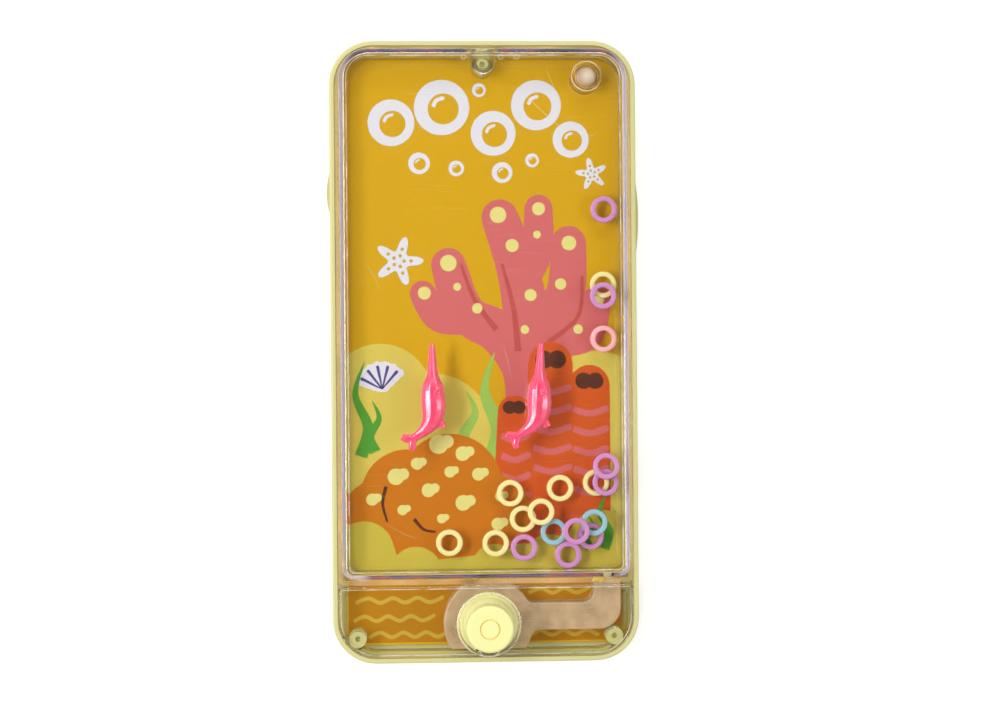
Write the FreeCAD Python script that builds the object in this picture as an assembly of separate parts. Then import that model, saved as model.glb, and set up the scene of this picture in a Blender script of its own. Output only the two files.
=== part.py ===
import FreeCAD, Part
import math
import os

# Hand-held water ring toss game, lying on its back.
# Millimetres. +X is to the right, +Y towards the top of the game, +Z out of its window.
# The origin is the middle of the back face.

# Rear shell
SHELL_HALF_WIDTH = 35.0
SHELL_HALF_LENGTH = 71.0
SHELL_CORNER = 10.0
SHELL_DEPTH = 9.0
SHELL_WALL = 1.1
SHELL_FLOOR = 1.4
SHELL_BACK_ROUND = 2.5
SHELL_RIM_ROUND = 0.5
RIB_TOP = 2.0
RIB_WIDTH = 1.0
RIB_LENGTHS_X = (-24.0, -8.0, 8.0)
RIB_CROSS_Y = (-55.0, 0.0, 54.0)
RIB_HALF_LENGTH = 55.0
RIB_HALF_CROSS = 30.0
ROOTED = 0.2
SQUARE_CORNER = 1.0

# Side bumps, like the keys on a telephone's edge: middle along Y, and length
BUMP_PROUD = 0.8
BUMP_LOW = 3.0
BUMP_HIGH = 6.4
LEFT_BUMP = (36.4, 10.0)
RIGHT_BUMP = (30.6, 19.7)

# Posts of the rear shell that take the pins of the clear covers
POST_HOLE = 0.65
POST_HOLE_LOW = 5.4
POST_TOP = 6.6
CORNER_POST_X = 29.4
CORNER_POST_Y = -65.5
CORNER_POST_RADIUS = 2.0
TOP_POST_Y = 65.6
TOP_POST_RADIUS = 1.35
PIN_RADIUS = 0.6
PIN_END = 5.6
CORNER_POSTS = ((-CORNER_POST_X, CORNER_POST_Y), (CORNER_POST_X, CORNER_POST_Y))
POSTS = (*CORNER_POSTS, (0, TOP_POST_Y))

# Printed card under the tank
CARD_HALF_WIDTH = 31.9
CARD_HALF_LENGTH = 67.6
CARD_TOP = 2.4
CARD_CORNER = 3.5
CARD_POST_NOTCH = 2.4
CARD_HOLE_CLEARANCE = 0.2

# Filling hole, closed from the back
FILLER_X = 23.85
FILLER_Y = 62.9
NECK_RADIUS = 3.6
NECK_TOP = 8.4
NECK_EDGE_ROUND = 0.45
PLUG_RADIUS = 2.5
PLUG_CLEARANCE = 0.07
PLUG_END = 7.4
PLUG_HEAD_RADIUS = 4.0
PLUG_HEAD_LOW = 0.3
PLUG_HEAD_HIGH = 1.25
PLUG_RECESS_RADIUS = 4.4
PLUG_RECESS_DEPTH = 1.3
PLUG_SEAT_RADIUS = 5.6
PLUG_SEAT_CLEARANCE = 0.3
PLUG_NOSE_ROUND = 1.1
PLUG_HEAD_ROUND = 0.25

# Clear tank
BACK_PLATE_LOW = 2.5
BACK_PLATE_TOP = 3.8
BACK_PLATE_HALF_WIDTH = 33.4
BACK_PLATE_LOW_Y = -52.5
BACK_PLATE_HIGH_Y = 69.5
BACK_PLATE_CORNER = 8.5
SEAL_TOP = 4.15
FILM = 0.02
SEAL_INSET = 0.12
TANK_HALF_WIDTH = 32.7
TANK_LOW_Y = -51.4
TANK_HIGH_Y = 68.6
TANK_TOP_CORNER = 6.8
TANK_LOW_CORNER = 2.8
TANK_WALL = 1.2
TANK_TOP = 14.0
TANK_EDGE_ROUND = 1.8
TANK_CEILING = 12.6
TANK_INNER_ROUND = 0.15
FLANGE_LOW = 7.9
FLANGE_HIGH = 8.9
FLANGE_HALF_WIDTH = 33.7
FLANGE_LOW_Y = -53.1
FLANGE_HIGH_Y = 69.7
FLANGE_CORNER = 8.8
LUG_SLOT_RADIUS = 1.5
LUG_SLOT_REACH = 10.0
LUG_SLOT_TOP = 11.1

# Swordfish pegs: middle of the body, and turn in degrees
PEG_Z = 8.0
PEG_LEFT = (-11.9, -10.3, 0.0)
PEG_RIGHT = (12.4, -10.3, -3.0)
PEG_STUB_RADIUS = 0.65
PEG_STUB_LOW = 4.25
PEG_SOCKET_RADIUS = 1.3
PEG_SOCKET_TOP = 5.6
PEG_FLATNESS = 0.72
PEG_STEPS = 2

# Floating rings
RING_OUTER = 3.07
RING_INNER = 1.9
RING_THICK = 1.2
RING_EDGE = 0.35
RING_LOWEST_Z = 4.6
RING_LAYER = 1.4

# Lower cover, button and pump
PUMP_X = 0.5
PUMP_Y = -62.2
COVER_LOW = 8.1
COVER_HIGH = 9.3
COVER_HALF_WIDTH = 33.7
COVER_LOW_Y = -69.7
COVER_HIGH_Y = -53.5
COVER_CORNER = 8.8
COVER_EDGE_ROUND = 0.4
COLLAR_INNER = 6.7
COLLAR_OUTER = 7.4
COLLAR_TOP = 10.4
COLLAR_EDGE_ROUND = 0.3
SKIRT_LOW = 4.0
SKIRT_HALF_WIDTH = 32.4
SKIRT_WALL = 1.0
SKIRT_LOW_Y = -69.3
SKIRT_HIGH_Y = -55.3
SKIRT_CORNER = 7.4
SKIRT_POST_CLEARANCE = 0.3
BOSS_CLEARANCE = 0.1
BUTTON_RADIUS = 5.3
BUTTON_TOP = 17.5
BUTTON_LOW = 12.2
BUTTON_BORE = 4.75
BUTTON_CEILING = 16.05
BUTTON_EDGE_ROUND = 0.6
MARK_RADIUS = 2.3
MARK_GROOVE = 0.3
MARK_DEPTH = 0.25
BELLOWS_BOSS = 4.6
BELLOWS_TOP = 16.0
BELLOWS_FOLDS = 3
BELLOWS_WIDE = 6.2
BELLOWS_NARROW = 5.5
BELLOWS_TAPER = 0.2
BELLOWS_SHOULDER = 0.4
BELLOWS_WALL = 0.55
BELLOWS_ROOF = 1.0
BELLOWS_CLEARANCE = 0.1
BELLOWS_FLANGE = 7.3
BELLOWS_FLANGE_TOP = 8.05
PUMP_LOW = 2.45
PUMP_FLOOR_TOP = 3.2
PUMP_LID_LOW = 6.9
PUMP_LID_HIGH = 7.7
PUMP_LID_ROUND = 0.5
PUMP_WALL = 0.7
PUMP_SPAN = 100.0
CHAMBER_RADIUS = 10.3
CHAMBER_LOW_Y = -68.1
CHAMBER_HIGH_Y = -53.4
DUCT_WIDTH = 6.3
DUCT_Y = -60.8
DUCT_X = 27.8
DUCT_END_Y = -52.6
DUCT_OUTER_CORNER = 0.8
DUCT_INNER_CORNER = 2.6
DUCT_SHOULDER = 2.0
NOZZLE_RADIUS = 1.1
NOZZLE_BORE = 0.75
NOZZLE_Z = 5.75
NOZZLE_END_Y = -50.5
NOZZLE_ROOT = 0.3
GROMMET_RADIUS = 1.55
GROMMET_LIP = 1.92
GROMMET_GAP = 0.15


def vec(x, y, z):
    return FreeCAD.Vector(x, y, z)


def slab(half_width, y_low, y_high, z_low, z_high, top_corner, bottom_corner=None):
    """A plate with upright rounded corners: the pair at the top of the game and the pair at its bottom."""
    bottom_corner = top_corner if bottom_corner is None else bottom_corner
    box = Part.makeBox(2 * half_width, y_high - y_low, z_high - z_low, vec(-half_width, y_low, z_low))
    middle_y = (y_low + y_high) / 2
    for radius, upper in ((top_corner, True), (bottom_corner, False)):
        box = box.makeFillet(radius, [e for e in upright_edges(box) if (e.BoundBox.YMin > middle_y) == upper])
    return box


def upright_edges(shape):
    return [e for e in shape.Edges if e.BoundBox.ZLength > 0.9 * shape.BoundBox.ZLength]


def column(x, y, radius, z_low, z_high):
    return Part.makeCylinder(radius, z_high - z_low, vec(x, y, z_low))


def joined(first, others):
    return first.fuse(others).removeSplitter() if others else first


def edges_at(shape, z):
    """The edges that lie wholly at one height."""
    return [e for e in shape.Edges if abs(e.BoundBox.ZMin - z) < 1e-4 and abs(e.BoundBox.ZMax - z) < 1e-4]


# Rear shell


def side_bump(side, middle_y, length):
    """A lens-shaped swelling on the edge, with a flat back inside the wall."""
    root = side * (SHELL_HALF_WIDTH - SHELL_WALL / 2)
    face = side * SHELL_HALF_WIDTH
    low, high = middle_y - length / 2, middle_y + length / 2
    crest = vec(face + side * BUMP_PROUD, middle_y, BUMP_LOW)
    arc = Part.Arc(vec(face, low, BUMP_LOW), crest, vec(face, high, BUMP_LOW)).toShape()
    corners = ((face, high), (root, high), (root, low), (face, low))
    back = Part.makePolygon([vec(x, y, BUMP_LOW) for x, y in corners])
    outline = Part.Wire([arc] + back.Edges)
    return Part.Face(outline).extrude(vec(0, 0, BUMP_HIGH - BUMP_LOW))


def rear_cover():
    body = slab(SHELL_HALF_WIDTH, -SHELL_HALF_LENGTH, SHELL_HALF_LENGTH, 0, SHELL_DEPTH, SHELL_CORNER)
    body = body.makeFillet(SHELL_BACK_ROUND, edges_at(body, 0))
    body = body.makeFillet(SHELL_RIM_ROUND, edges_at(body, SHELL_DEPTH))
    inside_width = SHELL_HALF_WIDTH - SHELL_WALL
    inside_length = SHELL_HALF_LENGTH - SHELL_WALL
    inside_corner = SHELL_CORNER - SHELL_WALL
    height = (SHELL_FLOOR, SHELL_DEPTH + 1)
    body = body.cut(slab(inside_width, -inside_length, inside_length, *height, inside_corner))
    added = [side_bump(-1, *LEFT_BUMP), side_bump(1, *RIGHT_BUMP)]
    rib_foot = SHELL_FLOOR - ROOTED
    for x, y in POSTS:
        radius = TOP_POST_RADIUS if x == 0 else CORNER_POST_RADIUS
        added.append(column(x, y, radius, rib_foot, POST_TOP))
    rib_height = RIB_TOP - rib_foot
    for x in RIB_LENGTHS_X:
        start = vec(x - RIB_WIDTH / 2, -RIB_HALF_LENGTH, rib_foot)
        added.append(Part.makeBox(RIB_WIDTH, 2 * RIB_HALF_LENGTH, rib_height, start))
    for y in RIB_CROSS_Y:
        start = vec(-RIB_HALF_CROSS, y, rib_foot)
        added.append(Part.makeBox(2 * RIB_HALF_CROSS, RIB_WIDTH, rib_height, start))
    added.append(column(FILLER_X, FILLER_Y, PLUG_SEAT_RADIUS, rib_foot, RIB_TOP))
    body = joined(body, added)
    for x, y in POSTS:
        body = body.cut(column(x, y, POST_HOLE, POST_HOLE_LOW, POST_TOP + 1))
    body = body.cut(column(FILLER_X, FILLER_Y, PLUG_RADIUS + PLUG_SEAT_CLEARANCE, -1, RIB_TOP + 1))
    return body.cut(column(FILLER_X, FILLER_Y, PLUG_RECESS_RADIUS, -1, PLUG_RECESS_DEPTH))


# Printed card


def printed_card():
    card = slab(CARD_HALF_WIDTH, -CARD_HALF_LENGTH, CARD_HALF_LENGTH, RIB_TOP, CARD_TOP, CARD_CORNER)
    for x, y in POSTS:
        card = card.cut(column(x, y, CARD_POST_NOTCH, 0, CARD_TOP + 1))
    return card.cut(column(FILLER_X, FILLER_Y, PLUG_RADIUS + CARD_HOLE_CLEARANCE, 0, CARD_TOP + 1))


# Tank


def tank_back():
    low, high = BACK_PLATE_LOW_Y, BACK_PLATE_HIGH_Y
    height = (BACK_PLATE_LOW, BACK_PLATE_TOP)
    plate = slab(BACK_PLATE_HALF_WIDTH, low, high, *height, BACK_PLATE_CORNER, SQUARE_CORNER)
    added = [column(FILLER_X, FILLER_Y, NECK_RADIUS, BACK_PLATE_LOW, NECK_TOP)]
    for x, y, turn in (PEG_LEFT, PEG_RIGHT):
        added.append(column(x, y, PEG_SOCKET_RADIUS, BACK_PLATE_LOW, PEG_SOCKET_TOP))
    plate = joined(plate, added)
    for x, y, turn in (PEG_LEFT, PEG_RIGHT):
        plate = plate.cut(column(x, y, PEG_STUB_RADIUS + FILM, PEG_STUB_LOW - FILM, PEG_SOCKET_TOP + 1))
    plate = plate.cut(column(0, TOP_POST_Y, LUG_SLOT_RADIUS, 0, NECK_TOP))
    plate = plate.cut(column(FILLER_X, FILLER_Y, PLUG_RADIUS + PLUG_CLEARANCE, 0, NECK_TOP + 1))
    return plate.makeFillet(NECK_EDGE_ROUND, edges_at(plate, NECK_TOP))


def lug_slot(radius, z_low, z_high):
    """The U-shaped bay in the tank's top wall that goes round the shell's top post."""
    trench = Part.makeBox(2 * radius, LUG_SLOT_REACH, z_high - z_low, vec(-radius, TOP_POST_Y, z_low))
    return column(0, TOP_POST_Y, radius, z_low, z_high).fuse(trench)


def tank_block(inset, z_low, z_high):
    """The tank's outline in from its outer face, as a solid block with the bay cut out."""
    low, high = TANK_LOW_Y + inset, TANK_HIGH_Y - inset
    corners = (TANK_TOP_CORNER - inset, TANK_LOW_CORNER - inset)
    block = slab(TANK_HALF_WIDTH - inset, low, high, z_low, z_high, *corners)
    return block.cut(lug_slot(LUG_SLOT_RADIUS + inset, z_low - 1, z_high + 1))


def tank_seal():
    outer = tank_block(SEAL_INSET, BACK_PLATE_TOP + FILM, SEAL_TOP - FILM)
    return outer.cut(tank_block(TANK_WALL - SEAL_INSET, BACK_PLATE_TOP - 1, SEAL_TOP + 1))


def tank_front():
    height = (SEAL_TOP, TANK_TOP)
    block = slab(TANK_HALF_WIDTH, TANK_LOW_Y, TANK_HIGH_Y, *height, TANK_TOP_CORNER, TANK_LOW_CORNER)
    block = block.makeFillet(TANK_EDGE_ROUND, edges_at(block, TANK_TOP))
    height = (FLANGE_LOW, FLANGE_HIGH)
    flange = slab(FLANGE_HALF_WIDTH, FLANGE_LOW_Y, FLANGE_HIGH_Y, *height, FLANGE_CORNER, SQUARE_CORNER)
    slot = lug_slot(LUG_SLOT_RADIUS, SEAL_TOP - 1, LUG_SLOT_TOP)
    flange_web = flange.common(slot)
    shell = joined(block.cut(slot), [flange])
    hollow = tank_block(TANK_WALL, SEAL_TOP - 1, TANK_CEILING)
    shell = shell.cut(hollow.makeFillet(TANK_INNER_ROUND, edges_at(hollow, TANK_CEILING)))
    pin = column(0, TOP_POST_Y, PIN_RADIUS, PIN_END, FLANGE_LOW + ROOTED)
    shell = joined(shell, [flange_web, pin])
    start = vec(DUCT_X, TANK_LOW_Y - TANK_WALL / 2, NOZZLE_Z)
    return shell.cut(Part.makeCylinder(GROMMET_RADIUS, 2 * TANK_WALL, start, vec(0, 1, 0)))


# Swordfish pegs

# Spine points along the fish from the tip of its bill to its tail: x, y and width there
PEG_SPINE = [
    (-0.05, 12.0, 1.15),
    (0.0, 8.2, 1.9),
    (0.0, 4.7, 2.9),
    (0.0, 2.8, 4.3),
    (0.0, 0.9, 5.2),
    (0.2, -1.3, 5.6),
    (0.25, -3.5, 5.2),
    (-0.3, -5.5, 4.5),
    (-1.5, -7.1, 3.0),
    (-3.2, -8.4, 2.0),
    (-4.5, -9.3, 1.9),
]
PEG_FLUKES = ((-6.9, -9.2), (-4.5, -12.0))
PEG_FLUKE_ROOT = 0.95
PEG_FLUKE_TIP = 0.5
PEG_FIN = (1.75, -6.6)
PEG_FIN_RADIUS = 0.95
PEG_EYE = (0.95, 1.0)
PEG_EYE_HEIGHT = 1.62
PEG_EYE_RADIUS = 0.62
PEG_EYE_WIRE = 0.2


def spine_at(place):
    """A smooth curve through the spine points: whole numbers are the points themselves."""
    index = min(int(place), len(PEG_SPINE) - 2)
    t = place - index
    run = [PEG_SPINE[min(max(i, 0), len(PEG_SPINE) - 1)] for i in range(index - 1, index + 3)]
    values = []
    for before, start, end, after in zip(*run):
        bend = 2 * before - 5 * start + 4 * end - after
        twist = 3 * start - before - 3 * end + after
        values.append(start + (end - before) * t / 2 + bend * t**2 / 2 + twist * t**3 / 2)
    return values


def spine_section(place):
    """One cross-section of the fish: an ellipse square to the spine."""
    x, y, width = spine_at(place)
    before = spine_at(max(place - 1 / PEG_STEPS, 0))
    after = spine_at(min(place + 1 / PEG_STEPS, len(PEG_SPINE) - 1))
    along = vec(after[0] - before[0], after[1] - before[1], 0)
    ellipse = Part.Ellipse(vec(0, 0, 0), width / 2, width / 2 * PEG_FLATNESS)
    wire = Part.Wire([ellipse.toShape()])
    wire.rotate(vec(0, 0, 0), vec(1, 0, 0), 90)
    wire.rotate(vec(0, 0, 0), vec(0, 0, 1), math.degrees(math.atan2(along.y, along.x)) + 90)
    wire.translate(vec(x, y, PEG_Z))
    return wire


def fluke(tip):
    """One lobe of the tail: a cone from the tail's root to a small round tip."""
    root = vec(PEG_SPINE[-1][0], PEG_SPINE[-1][1], PEG_Z)
    end = vec(tip[0], tip[1], PEG_Z)
    along = end - root
    lobe = Part.makeCone(PEG_FLUKE_ROOT, PEG_FLUKE_TIP, along.Length, root, along)
    return lobe.fuse([Part.makeSphere(PEG_FLUKE_TIP, end), Part.makeSphere(PEG_FLUKE_ROOT, root)])


def swordfish_peg(place):
    count = PEG_STEPS * (len(PEG_SPINE) - 1)
    fish = Part.makeLoft([spine_section(step / PEG_STEPS) for step in range(count + 1)], True, False)
    tip = Part.makeSphere(PEG_SPINE[0][2] / 2, vec(PEG_SPINE[0][0], PEG_SPINE[0][1], PEG_Z))
    fin = Part.makeSphere(PEG_FIN_RADIUS, vec(*PEG_FIN, PEG_Z))
    eye = Part.makeTorus(PEG_EYE_RADIUS, PEG_EYE_WIRE, vec(*PEG_EYE, PEG_Z + PEG_EYE_HEIGHT))
    stub = column(0, 0, PEG_STUB_RADIUS, PEG_STUB_LOW, PEG_Z)
    fish = fish.fuse([fluke(tip_point) for tip_point in PEG_FLUKES] + [fin, eye, stub])
    x, y, turn = place
    fish.rotate(vec(0, 0, 0), vec(0, 0, 1), turn)
    fish.translate(vec(x, y, 0))
    return fish


# Floating rings: name, middle x and y, layer above the tank's back, and lean about X in degrees
RINGS = [
    ("ring_cream_1", -8.3, -44.0, 0, 0),
    ("ring_cream_2", 2.35, -44.25, 0, 0),
    ("ring_cream_3", 5.8, -32.75, 0, 0),
    ("ring_cream_4", 8.7, -38.7, 0, 0),
    ("ring_cream_5", 12.8, -37.0, 1, 0),
    ("ring_cream_6", 17.35, -31.7, 0, 0),
    ("ring_cream_7", 25.7, -30.5, 0, 0),
    ("ring_cream_8", 27.7, 15.2, 0, 0),
    ("ring_orchid_1", 28.0, 32.6, 0, 0),
    ("ring_orchid_2", 27.55, 12.65, 1, 0),
    ("ring_orchid_3", 27.8, -26.6, 2, 16),
    ("ring_orchid_4", 27.8, -30.4, 1, 0),
    ("ring_orchid_5", 8.9, -45.3, 0, 0),
    ("ring_orchid_6", 20.8, -41.4, 2, 0),
    ("ring_orchid_7", 24.3, -42.9, 0, 0),
    ("ring_orchid_8", 19.1, -47.08, 0, 0),
    ("ring_blue_1", 15.8, -41.8, 0, 0),
    ("ring_blue_2", 25.05, -39.6, 1, 0),
    ("ring_pink_1", 27.7, 2.7, 0, 0),
]


def floating_ring(x, y, layer, lean):
    half = RING_THICK / 2
    ring = column(0, 0, RING_OUTER, -half, half).cut(column(0, 0, RING_INNER, -half - 1, half + 1))
    round_edges = [e for e in ring.Edges if isinstance(e.Curve, Part.Circle)]
    ring = ring.makeFillet(RING_EDGE, round_edges)
    ring.rotate(vec(0, 0, 0), vec(1, 0, 0), -lean)
    ring.translate(vec(x, y, RING_LOWEST_Z + layer * RING_LAYER))
    return ring


# Pump: a welded tray and lid with a duct to the tank


def duct_path(width, end_y):
    """The duct's L-shaped outline: along from the chamber, then up to the tank."""
    half = width / 2
    run = slab_between(PUMP_X, DUCT_X + half, DUCT_Y - half, DUCT_Y + half)
    rise = slab_between(DUCT_X - half, DUCT_X + half, DUCT_Y - half, end_y)
    path = run.fuse(rise).removeSplitter()
    corner = [e for e in upright_edges(path) if near(e, DUCT_X + half, DUCT_Y - half)]
    path = path.makeFillet(DUCT_OUTER_CORNER * width, corner)
    inner = [e for e in upright_edges(path) if near(e, DUCT_X - half, DUCT_Y + half)]
    return path.makeFillet(DUCT_INNER_CORNER, inner)


def slab_between(x_low, x_high, y_low, y_high, z_high=PUMP_LID_HIGH):
    return Part.makeBox(x_high - x_low, y_high - y_low, z_high - PUMP_LOW, vec(x_low, y_low, PUMP_LOW))


def near(edge, x, y):
    point = edge.Vertexes[0].Point
    return math.hypot(point.x - x, point.y - y) < 0.01


def chamber_strip(inset=0.0, z_high=PUMP_LID_HIGH):
    """The strip between the chamber's two flat sides."""
    return slab_between(-PUMP_SPAN / 2, PUMP_SPAN / 2, CHAMBER_LOW_Y + inset, CHAMBER_HIGH_Y - inset, z_high)


def pump_block(inset, z_low, z_high):
    """The pump's whole outline, in from its outer face, between two heights."""
    chamber = column(PUMP_X, PUMP_Y, CHAMBER_RADIUS - inset, PUMP_LOW, PUMP_LID_HIGH)
    duct = duct_path(DUCT_WIDTH - 2 * inset, DUCT_END_Y - inset)
    whole = chamber.common(chamber_strip(inset)).fuse(duct).removeSplitter()
    shoulders = [e for e in upright_edges(whole) if PUMP_X + inset < e.Vertexes[0].X < PUMP_X + CHAMBER_RADIUS]
    shoulders = [e for e in shoulders if abs(abs(e.Vertexes[0].Y - DUCT_Y) - DUCT_WIDTH / 2 + inset) < 0.01]
    whole = whole.makeFillet(DUCT_SHOULDER + inset, shoulders)
    corner = vec(-PUMP_SPAN / 2, PUMP_Y - PUMP_SPAN / 2, z_low)
    return whole.common(Part.makeBox(PUMP_SPAN, PUMP_SPAN, z_high - z_low, corner))


def pump_base():
    tray = pump_block(0, PUMP_LOW, PUMP_LID_LOW)
    tray = tray.cut(pump_block(PUMP_WALL, PUMP_FLOOR_TOP, PUMP_LID_LOW))
    length = NOZZLE_END_Y - DUCT_END_Y + NOZZLE_ROOT
    start = vec(DUCT_X, DUCT_END_Y - NOZZLE_ROOT, NOZZLE_Z)
    tray = joined(tray, [Part.makeCylinder(NOZZLE_RADIUS, length, start, vec(0, 1, 0))])
    bore = Part.makeCylinder(NOZZLE_BORE, length + 2, start - vec(0, 1, 0), vec(0, 1, 0))
    return tray.cut(bore)


def pump_top():
    lid = pump_block(0, PUMP_LID_LOW + FILM, PUMP_LID_HIGH)
    lid = lid.makeFillet(PUMP_LID_ROUND, edges_at(lid, PUMP_LID_HIGH))
    return lid.cut(column(PUMP_X, PUMP_Y, BELLOWS_NARROW - BELLOWS_WALL, PUMP_LID_LOW - 1, PUMP_LID_HIGH + 1))


def inlet_grommet():
    start = vec(DUCT_X, DUCT_END_Y + GROMMET_GAP, NOZZLE_Z)
    step = TANK_LOW_Y - FILM - start.y
    lip = Part.makeCylinder(GROMMET_LIP, step, start, vec(0, 1, 0))
    sleeve = Part.makeCylinder(GROMMET_RADIUS - FILM, step + TANK_WALL, start, vec(0, 1, 0))
    bore = Part.makeCylinder(NOZZLE_RADIUS + FILM, step + 2 * TANK_WALL, start - vec(0, 1, 0), vec(0, 1, 0))
    return joined(lip, [sleeve]).cut(bore)


# Button, bellows and lower cover


def turned(profile):
    """A solid of revolution from (radius, height) points, about the button's upright axis."""
    points = [vec(PUMP_X + radius, PUMP_Y, z) for radius, z in profile]
    face = Part.Face(Part.makePolygon(points + [points[0]]))
    return face.revolve(vec(PUMP_X, PUMP_Y, 0), vec(0, 0, 1), 360)


def pump_bellows():
    """A soft cup: a clamped flange cut flat beside the skirt, tapering folds, and a boss inside the button."""
    foot_z = PUMP_LID_HIGH + FILM
    neck_top = BUTTON_LOW - BELLOWS_CLEARANCE
    pitch = (neck_top - BELLOWS_FLANGE_TOP) / BELLOWS_FOLDS
    outer = [(BELLOWS_FLANGE, foot_z), (BELLOWS_FLANGE, BELLOWS_FLANGE_TOP), (BELLOWS_WIDE, BELLOWS_FLANGE_TOP)]
    for fold in range(BELLOWS_FOLDS):
        crest = BELLOWS_WIDE - BELLOWS_TAPER * fold
        valley = BELLOWS_NARROW - BELLOWS_TAPER / 2 * fold
        outer.append((crest, BELLOWS_FLANGE_TOP + pitch * (fold + 0.35)))
        outer.append((valley, BELLOWS_FLANGE_TOP + pitch * (fold + 0.75)))
    outer.append((BELLOWS_BOSS + BELLOWS_SHOULDER, neck_top))
    inner = [(r - BELLOWS_WALL, z) for r, z in outer[3:]]
    outer.append((BELLOWS_BOSS, neck_top))
    outer.append((BELLOWS_BOSS, BELLOWS_TOP))
    ceiling = BELLOWS_TOP - BELLOWS_ROOF
    roof = [(0, BELLOWS_TOP), (0, ceiling), (BELLOWS_BOSS - BELLOWS_WALL, ceiling)]
    foot = [(BELLOWS_NARROW - BELLOWS_WALL, foot_z)]
    cup = turned(outer + roof + inner[::-1] + foot)
    return cup.common(chamber_strip(z_high=BELLOWS_TOP))


def button_mark():
    """A shallow round groove on the button's face."""
    low = BUTTON_TOP - MARK_DEPTH
    mark = column(PUMP_X, PUMP_Y, MARK_RADIUS, low, BUTTON_TOP + 1)
    return mark.cut(column(PUMP_X, PUMP_Y, MARK_RADIUS - MARK_GROOVE, low - 1, BUTTON_TOP + 2))


def push_button():
    cap = column(PUMP_X, PUMP_Y, BUTTON_RADIUS, BUTTON_LOW, BUTTON_TOP)
    cap = cap.makeFillet(BUTTON_EDGE_ROUND, edges_at(cap, BUTTON_TOP))
    cap = cap.cut(column(PUMP_X, PUMP_Y, BUTTON_BORE, BUTTON_LOW - 1, BUTTON_CEILING))
    return cap.cut(button_mark())


def lower_cover():
    height = (COVER_LOW, COVER_HIGH)
    plate = slab(COVER_HALF_WIDTH, COVER_LOW_Y, COVER_HIGH_Y, *height, SQUARE_CORNER, COVER_CORNER)
    plate = plate.makeFillet(COVER_EDGE_ROUND, edges_at(plate, COVER_HIGH))
    height = (SKIRT_LOW, COVER_LOW + ROOTED)
    skirt = slab(SKIRT_HALF_WIDTH, SKIRT_LOW_Y, SKIRT_HIGH_Y, *height, SQUARE_CORNER / 2, SKIRT_CORNER)
    height = (SKIRT_LOW - 1, COVER_LOW + 1)
    inside = (SKIRT_HALF_WIDTH - SKIRT_WALL, SKIRT_LOW_Y + SKIRT_WALL, SKIRT_HIGH_Y + SKIRT_WALL)
    skirt = skirt.cut(slab(*inside, *height, SQUARE_CORNER / 2, SKIRT_CORNER - SKIRT_WALL))
    added = [skirt, column(PUMP_X, PUMP_Y, COLLAR_OUTER, COVER_HIGH - ROOTED, COLLAR_TOP)]
    for x, y in CORNER_POSTS:
        added[0] = added[0].cut(column(x, y, CORNER_POST_RADIUS + SKIRT_POST_CLEARANCE, *height))
        boss_low = POST_TOP + BOSS_CLEARANCE
        added.append(column(x, y, CORNER_POST_RADIUS - BOSS_CLEARANCE, boss_low, COVER_LOW + ROOTED))
        added.append(column(x, y, PIN_RADIUS, PIN_END, boss_low + ROOTED))
    plate = joined(plate, added)
    plate = plate.cut(column(PUMP_X, PUMP_Y, COLLAR_INNER, COVER_LOW - 1, COLLAR_TOP + 1))
    return plate.makeFillet(COLLAR_EDGE_ROUND, edges_at(plate, COLLAR_TOP))


def filler_plug():
    """A soft stopper pushed in from the back, its head inside the shell's recess."""
    stem = column(FILLER_X, FILLER_Y, PLUG_RADIUS, PLUG_HEAD_HIGH - ROOTED, PLUG_END)
    stem = stem.makeFillet(PLUG_NOSE_ROUND, edges_at(stem, PLUG_END))
    head = column(FILLER_X, FILLER_Y, PLUG_HEAD_RADIUS, PLUG_HEAD_LOW, PLUG_HEAD_HIGH)
    head = head.makeFillet(PLUG_HEAD_ROUND, edges_at(head, PLUG_HEAD_LOW))
    return joined(stem, [head])


def build():
    os.makedirs("parts", exist_ok=True)
    parts = {
        "rear_cover": rear_cover(),
        "printed_card": printed_card(),
        "tank_back": tank_back(),
        "tank_seal": tank_seal(),
        "tank_front": tank_front(),
        "lower_cover": lower_cover(),
        "swordfish_peg_left": swordfish_peg(PEG_LEFT),
        "swordfish_peg_right": swordfish_peg(PEG_RIGHT),
        "pump_base": pump_base(),
        "pump_top": pump_top(),
        "inlet_grommet": inlet_grommet(),
        "pump_bellows": pump_bellows(),
        "push_button": push_button(),
        "filler_plug": filler_plug(),
    }
    for name, *place in RINGS:
        parts[name] = floating_ring(*place)
    for name, shape in parts.items():
        shape.exportStep(f"parts/{name}.step")
        print(name, "solids", len(shape.Solids), "valid", shape.isValid(), "volume", round(shape.Volume, 2))


build()
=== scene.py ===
# %% [markdown]
# A pocket water ring toss game. A clear tank of loose rings sits in a pale lemon shell, with two pink
# swordfish pegs inside it and a push-button pump below. The construction comes ready made as a frame of
# solid pieces at their real sizes, so this lesson only dresses it: materials, the print on the card, and
# the few pieces whose soft or fine shapes are better modelled here.
# %% Load the frame
import math

import bpy
from mathutils import Matrix, Vector


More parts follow.
